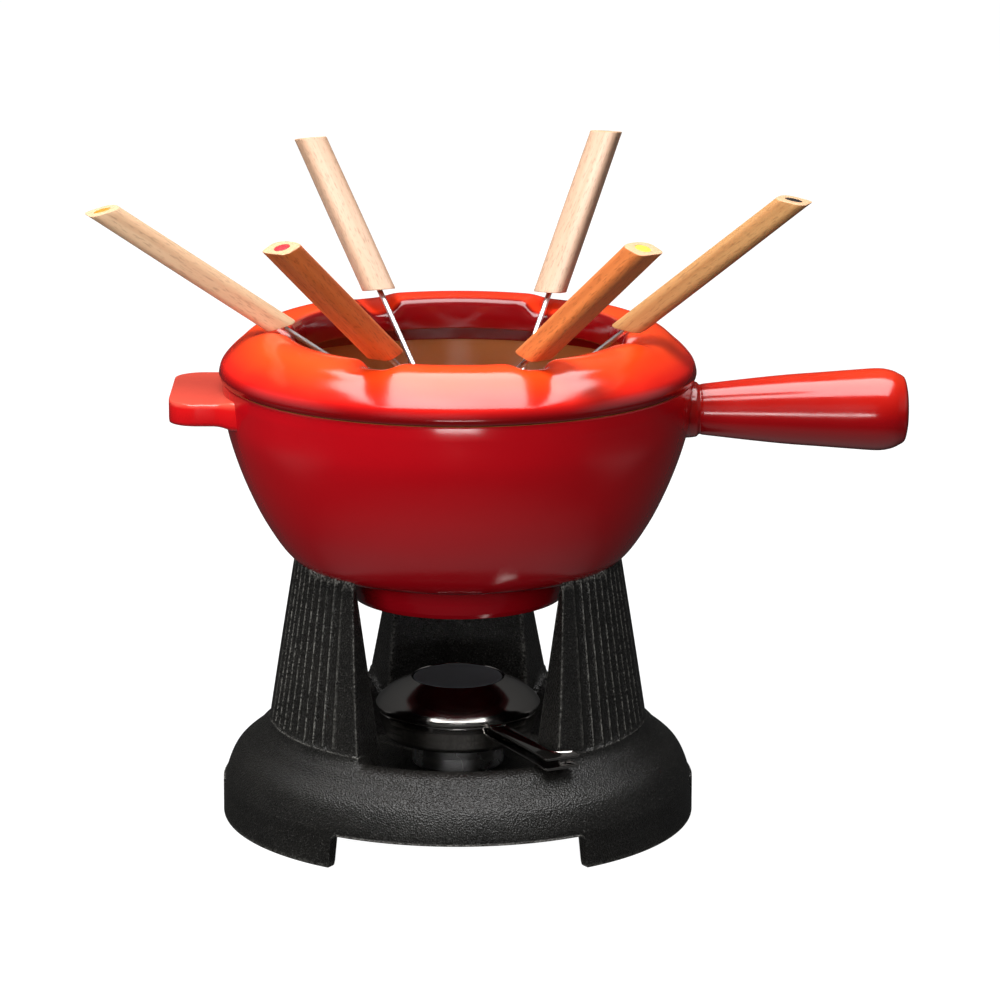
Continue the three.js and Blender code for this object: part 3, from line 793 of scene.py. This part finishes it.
def pot_lug():
    """A flat tab with round corners, spread where it joins the bowl."""
    rows = []
    stations = [(100, 1.0), (104.5, 0.9), (107, 0.55), (109, 0.25), (111, 0.07), (113, 0.0), (121, 0.0)]
    corner = 13.0
    for turn in np.linspace(0, 90, 12)[1:]:
        stations.append((121 + 13.3 * math.sin(math.radians(turn)), -turn))
    for x, spread in stations:
        if spread < 0:
            half = 37 - corner * (1 - math.cos(math.radians(-spread)))
            swell = 0.0
        else:
            half, swell = 37.0 + 3.5 * spread, spread
        section = rounded(
            [(0, 0), (half, 0, 2.2), (half, 5.4), (half, 10.8, 2.2), (0, 10.8)], 2.2, 6)
        low, high = 194.7 - 1.5 * swell, 205.5 + 1.5 * swell
        right = [(y, low + (high - low) * z / 10.8) for y, z in section]
        left = [(-y, z) for y, z in right[::-1]][1:-1]
        outline = np.array(right + left)
        rows.append(np.column_stack([np.full(len(outline), -x), outline]))
    nose = rows[-1]
    for step, share in ((0.0, 0.97), (0.35, 0.94), (0.35, 0.6), (0.35, 0.2)):
        centre = np.array([0, 200.1])
        shrunk = centre + (nose[:, 1:] - centre) * np.array([1 - (1 - share) * 0.35, share])
        rows.append(np.column_stack([nose[:, 0] - step * 0.4, shrunk]))
    verts, faces = bridged(rows)
    piece("pot_side_lug", verts, faces, "pot", RED_LUG, "red_enamel", "pot_lug", sharp=50)


pot()
pot_handle()
pot_lug()


# ---------------------------------------------------------------- the fork ring
# Name, azimuth, radius and height of the handle's lower end, lean, turn, and the dot's colour.
FORKS = [
    ("front_left", -25, 77, 236.3, 53.3, -7.1, "red", (0.62, 0.02, 0.03)),
    ("front_right", 23.6, 84.3, 237.4, 53.5, 10.5, "yellow", (0.75, 0.55, 0.05)),
    ("right", 73.6, 82.3, 238.9, 50.6, -6.5, "black", (0.012, 0.010, 0.009)),
    ("back_right", 148.5, 85, 237.3, 49, 9.4, "green", (0.03, 0.20, 0.05)),
    ("back_left", -152, 81, 238.5, 52.5, -2.5, "blue", (0.02, 0.07, 0.35)),
    ("left", -89.5, 83.5, 235.7, 55, 18.5, "orange", (0.80, 0.22, 0.02)),
]
REST_TURNS = np.array([settings[1] for settings in FORKS])
REST_DEPTH, REST_HALF_ANGLE = 6, 6.5


def rest_dip(radius, azimuth, z):
    """How far the ring's top is pressed down to make a rest for each fork."""

    def step(x, low, high):
        t = np.clip((x - low) / (high - low), 0, 1)
        return t * t * (3 - 2 * t)

    away = np.abs((azimuth[:, None] - REST_TURNS + 180) % 360 - 180).min(1)
    fade = (1 - step(radius, 77, 102)) * step(z, 221, 228)
    return REST_DEPTH * fade * np.exp(-((away / REST_HALF_ANGLE) ** 4))


def fork_ring():
    outside = smooth(
        [(111.9, 213.2), (112, 215), (110.7, 219), (107.3, 223.2), (103, 227.1), (98.4, 231.1), (93.2, 233.8),
         (88, 234.6), (82.2, 233.7), (78.7, 232.2), (77.2, 229.4)], 70)
    seat = rounded([(106.4, 213.2), (106.4, 211.9, 0.3), (111.4, 211.9, 0.8), (111.9, 213.2)], 0.6)[:-1]
    lip = rounded([(77.2, 229.2), (77.4, 218.3, 0.8), (80.0, 218.3, 0.8), (80.4, 226.6)], 0.8)[1:]
    inside = smooth(
        [(80.4, 226.6), (83.4, 229.6), (90, 229.9), (97.4, 227), (102.0, 222.0), (103.0, 216.0)], 30)[1:]
    skirt = rounded(
        [(103.0, 216), (102.8, 207.8, 0.6), (105.1, 207.8, 0.6), (105.3, 213.2), (106.4, 213.2)], 0.5)[1:-1]
    profile = np.concatenate([seat, outside, lip, inside, skirt])
    verts, faces = revolved(profile, 360, closed=True)
    radius = np.hypot(verts[:, 0], verts[:, 1])
    azimuth = np.degrees(np.arctan2(verts[:, 0], -verts[:, 1]))
    verts[:, 2] -= rest_dip(radius, azimuth, verts[:, 2])
    piece("fork_ring_body", verts, faces, "fork_ring", ORANGE_ENAMEL_AND_PAINTED_LIGHT, "orange_enamel", "fork_ring")


fork_ring()


# ---------------------------------------------------------------- the burner
def turned(name, profile, body, material, slot, *nodes, columns=192, closed=True, sharp=40):
    verts, faces = revolved(profile, columns, closed)
    return piece(name, verts, faces, body, material, slot, *nodes, sharp=sharp)


def burner():
    """A foot cup, the fuel bowl on it, the wick pad under its gauze, and the hood over the bowl."""
    foot = rounded(
        [(0.01, 22.0), (20.6, 22.0, 1.0), (22, 23.4, 1.0), (21.6, 29), (21.9, 34.6), (22.9, 35.4, 0.4),
         (22.9, 35.9, 0.3), (21.4, 35.9, 0.3), (20.8, 34), (20.6, 24, 1.0), (19, 23.2), (0.01, 23.2)], 0.6)
    bowl = rounded(
        [(0.01, 36.05), (33.2, 36.05, 1.4), (35.4, 38.4, 1.4), (36.4, 42.5), (37.7, 46.5), (38.1, 49.2, 0.3),
         (37.9, 49.9, 0.2), (37.2, 49.9, 0.2), (36.9, 46.4), (34.5, 39, 1.4), (32.6, 37.2, 1.0),
         (0.01, 37.2)], 0.8)
    pad = rounded(
        [(0.01, 37.5), (31.6, 37.5, 1.5), (32.6, 46.0, 2), (30.5, 48.2, 2), (20.2, 51.6, 2),
         (20.2, 63.3, 0.8), (0.01, 63.3)], 1)
    disc = rounded(
        [(0.01, 63.85), (21.2, 63.85, 0.2), (21.35, 64.4, 0.2), (20.6, 64.95, 0.3), (0.01, 64.95)], 0.2)
    for name, profile, material, slot, node in (
        ("burner_foot_cup_body", foot, BRIGHT_STEEL, "polished_steel", "burner_foot_cup"),
        ("burner_fuel_bowl_body", bowl, DARK_STEEL, "dark_steel", "burner_fuel_bowl"),
        ("burner_wick_pad", pad, FIBRE, "wick_fibre", "burner_wick"),
        ("burner_gauze_disc", disc, GAUZE, "gauze", "burner_gauze"),
    ):
        turned(name, profile, "burner", material, slot, node, closed=False)
    dome = smooth([(38.8, 53.4), (36.9, 55.5), (33.2, 58.6), (28.5, 61.5), (24.6, 63.5), (22.5, 64.9)], 40)
    under = dome[::-1] + np.array([(-0.45, -0.75)])
    lip = rounded([(22.5, 64.9), (21.9, 65.0, 0.25), (21.75, 64.4)], 0.2)[1:]
    skirt = rounded(
        [(38.5, 52.4), (38.6, 50.6, 0.2), (39.1, 50.5, 0.2), (39.4, 51.2, 0.3), (39.35, 52.6, 0.5),
         (38.8, 53.4)], 0.3)[:-1]
    hood = np.concatenate([skirt, dome, lip, under[1:-1]])
    turned("regulator_hood_body", hood, "regulator", DARK_STEEL, "dark_steel", "regulator_hood")


# A sheet handle's heading, and its rows as (how far in from the outline, how high above its low side).
STRIP_AZIMUTH = 26.5
STRIP_ROWS = [
    (1.3, 0.1), (0.5, 0.0), (0.12, 0.12), (0.0, 0.45), (0.0, 0.9), (0.15, 1.12), (0.5, 1.2), (0.95, 1.12),
    (1.25, 0.8), (1.6, 0.62)]


def strip(name, root, low, body, node):
    """A sheet handle with turned-up edges and a wide tab at its end."""
    heading = math.radians(STRIP_AZIMUTH)
    out = np.array([math.sin(heading), -math.cos(heading)])
    across = np.array([-out[1], out[0]])
    outline = [(root, -4.5), (60, -4.5, 3), (97.6, -4.6, 2.0), (99.9, -4.2, 0.8), (99.9, 13.4, 1.6),
               (92.6, 13.4, 2.0), (91.0, 4.6, 5.0), (60, 4.5, 3), (root, 4.5)]
    border = rounded(outline, 1.0, 6)
    lengths = np.concatenate([[0], np.cumsum(np.linalg.norm(np.diff(border, axis=0), axis=1))])
    even = np.linspace(0, lengths[-1], 150)
    border = np.column_stack([np.interp(even, lengths, border[:, k]) for k in (0, 1)])
    border = np.concatenate([border, [[root, t] for t in np.linspace(4.0, -4.0, 9)]])

    def inset(points, amount):
        along = np.roll(points, -1, 0) - np.roll(points, 1, 0)
        normal = np.stack([-along[:, 1], along[:, 0]], 1)
        normal /= np.linalg.norm(normal, axis=1)[:, None] + 1e-9
        return points + normal * amount

    rows = []
    for amount, rise in STRIP_ROWS:
        flat = inset(border, amount)
        plan = flat[:, :1] * out + flat[:, 1:] * across
        rows.append(np.column_stack([plan, np.full(len(flat), low + rise)]))
    verts, faces = bridged(rows)
    piece(name, verts, faces, body, DARK_STEEL, "dark_steel", node, sharp=30)


burner()
strip("burner_bowl_handle_strip", 37.4, 45.2, "burner", "burner_bowl_handle")
strip("regulator_handle_strip", 38.9, 49.9, "regulator", "regulator_handle")


# ---------------------------------------------------------------- the forks
LIGHT_WOOD = ((0.47, 0.32, 0.23), (0.36, 0.215, 0.13))
# Lit and shaded copies of the same beech, one per fork: the front two darker and redder (painted shade and a
# painted red reflection from the ring), the right one darker (painted shade) and the left one paler (painted
# light); the back forks keep LIGHT_WOOD.
WOOD_TONES_WITH_PAINTED_LIGHT = {
    "left": ((0.64, 0.48, 0.31), (0.48, 0.30, 0.17)),
    "right": ((0.49, 0.285, 0.11), (0.34, 0.155, 0.052)),
    "front_left": ((0.72, 0.19, 0.040), (0.46, 0.09, 0.018)),
    "front_right": ((0.66, 0.21, 0.055), (0.42, 0.105, 0.026)),
}


def fork_place(azimuth, radius, height, lean, turn):
    """A fork's own frame: +Z along it from the handle's lower end, and +X its round upper side."""
    heading, tilt = math.radians(azimuth + turn), math.radians(lean)
    axis = Vector((math.sin(tilt) * math.sin(heading), -math.sin(tilt) * math.cos(heading), math.cos(tilt)))
    upper = Vector((-math.cos(tilt) * math.sin(heading), math.cos(tilt) * math.cos(heading), math.sin(tilt)))
    side = axis.cross(upper)
    place = Matrix((upper, side, axis)).transposed().to_4x4()
    a = math.radians(azimuth)
    place.translation = AXIS + Vector((radius * math.sin(a), -radius * math.cos(a), height)) * MM
    return place


def handle_section():
    """Round upper side and flatter under side, as points anticlockwise seen from above the end."""
    half, under, join = WIDTH / 2, -DEPTH / 2, DEPTH * 0.08
    crown = []
    for a in np.radians(np.linspace(-90, 90, 37)):
        out = DEPTH * (0.08 + 0.42 * math.cos(a) ** 0.8)
        crown.append((out, half * math.copysign(abs(math.sin(a)) ** 0.85, a)))
    narrow = half * 0.94
    flat = rounded(
        [(join, half), (under, narrow, 3.4), (under, 0), (under, -narrow, 3.4), (join, -half)], 3.4, 8)
    spread = []
    for p, q in zip(flat[:-1], flat[1:]):
        parts = max(1, int(np.linalg.norm(q - p) / 0.9))
        spread += [p + (q - p) * k / parts for k in range(parts)]
    return np.array(crown[:-1] + spread)


def fork(name, azimuth, radius, height, lean, turn, dot, tone):
    """A wooden handle with a stem hole and a coloured plug in its slanted end, and the steel."""
    place = fork_place(azimuth, radius, height, lean, turn)
    body = "fork_" + name
    section = handle_section()

    def slanted(points, middle=HANDLE):
        return middle - SLANT * points[:, 0] / DEPTH

    rows = []
    angles = np.arctan2(section[:, 1], section[:, 0])
    circle = np.column_stack([np.cos(angles), np.sin(angles)])
    rows.append(np.column_stack([circle * 1.65, np.full(len(section), 3.0)]))
    rows.append(np.column_stack([circle * 1.65, slanted(circle * 1.65, 0.15)]))
    for ring in (circle * 1.9, section * 0.6 + circle * 0.4):
        rows.append(np.column_stack([ring, slanted(ring, 0)]))
    for scale, rise in ((0.93, 0.0), (0.965, 0.08), (0.985, 0.3), (0.996, 0.75)):
        rows.append(np.column_stack([section * scale, slanted(section * scale, rise)]))
    for t in np.linspace(0.03, 0.97, 24):
        z = slanted(section, 0.8) + (HANDLE - 1.6) * t
        belly = 1 - 0.012 * math.cos(math.pi * t) ** 2
        rows.append(np.column_stack([section * belly, z]))
    for scale, drop in ((0.996, 0.75), (0.985, 0.3), (0.965, 0.08), (0.93, 0.0)):
        ring = section * scale
        rows.append(np.column_stack([ring, slanted(ring) - drop]))
    for share in (0.55, 0.2):
        ring = circle * 3.15 * (1 - share) + section * 0.93 * share
        rows.append(np.column_stack([ring, slanted(ring)]))
    ring = circle * 3.25
    rows.append(np.column_stack([ring, slanted(ring)]))
    ring = circle * 3.15
    rows.append(np.column_stack([ring, slanted(ring) - 0.15]))
    rows.append(np.column_stack([ring, np.full(len(section), HANDLE - 6.2)]))
    verts, faces = bridged(rows, caps=False)
    last = (len(rows) - 1) * len(section)
    faces.append(tuple(range(len(section)))[::-1])
    faces.append(tuple(range(last, last + len(section))))
    pale, dark = WOOD_TONES_WITH_PAINTED_LIGHT.get(name, LIGHT_WOOD)
    material = wood("beech_" + name, place, pale, dark, len(name) + azimuth * 0.01)
    handle = body + "_handle"
    piece(handle + "_wood", verts, faces, body, material, "beech", handle, sharp=42, local=place)

    turns = np.radians(np.arange(0, 360, 7.5))
    disc = np.column_stack([np.cos(turns), np.sin(turns)])
    rows = [np.column_stack([disc * 3.1, np.full(len(disc), HANDLE - 5.6)])]
    for scale, drop in ((3.1, 0.22), (3.04, 0.06), (2.9, 0.0), (1.5, -0.06), (0.4, -0.08)):
        ring = disc * scale
        rows.append(np.column_stack([ring, slanted(ring) - drop]))
    verts, faces = bridged(rows)
    paint = dot_paint("dot_paint_" + dot, tone)
    piece(body + "_dot_plug", verts, faces, body, paint, "dot_" + dot, body + "_dot", local=place)
    fork_steel(body, place)


# A tine's stations: height, distance from the fork's middle, half width and half thickness.
TINE = [
    (-84.5, 1.3, 0.8, 0.55), (-87.5, 2.0, 1.0, 0.72), (-90, 2.5, 0.9, 0.75), (-100, 2.6, 0.85, 0.75),
    (-109, 2.6, 0.8, 0.72), (-109.6, 3.0, 1.3, 0.7), (-110.6, 2.8, 1.0, 0.68), (-114, 2.6, 0.6, 0.5),
    (-117.6, 2.5, 0.12, 0.2)]


def fork_steel(body, place):
    """Round stem that flattens into a head with two barbed tines."""
    turns = np.radians(np.arange(0, 360, 15))
    circle = np.column_stack([np.cos(turns), np.sin(turns)])
    rows = []
    for z in (18, 2, -20, -45, -70, -78):
        rows.append(np.column_stack([circle * 1.3, np.full(len(circle), z)]))
    for t in np.linspace(0, 1, 9)[1:]:
        ease = t * t * (3 - 2 * t)
        wide, thick = 1.3 + 2.1 * ease, 1.3 - 0.55 * ease
        level = np.full(len(circle), -78 - 10 * t)
        rows.append(np.column_stack([circle[:, :1] * thick, circle[:, 1:] * wide, level]))
    verts, faces = bridged(rows)
    verts, faces = list(verts), list(faces)
    for side in (-1, 1):
        start = len(verts)
        tine = []
        for z, middle, wide, thick in TINE:
            across = side * middle + circle[:, 1:] * wide
            tine.append(np.column_stack([circle[:, :1] * thick, across, np.full(len(circle), z)]))
        more, quads = bridged(tine)
        verts += list(more)
        faces += [tuple(i + start for i in f) for f in quads]
    stem = body + "_stem"
    piece(stem + "_steel", verts, faces, body, STEM_STEEL, "polished_steel", stem, sharp=45, local=place)


for settings in FORKS:
    fork(*settings)


# ---------------------------------------------------------------- floor
def floor():
    edge, count = 14.0, 24
    line = np.linspace(-edge, edge, count)
    verts = [(x, y, 0.0) for y in line for x in line]
    mesh = bpy.data.meshes.new("floor")
    mesh.from_pydata(verts, [], grid_faces(count, count, wrap_columns=False))
    mesh.materials.append(pale_floor())
    made = bpy.data.objects.new("floor", mesh)
    made.visible_diffuse = False
    made.visible_glossy = False
    bpy.context.scene.collection.objects.link(made)


floor()
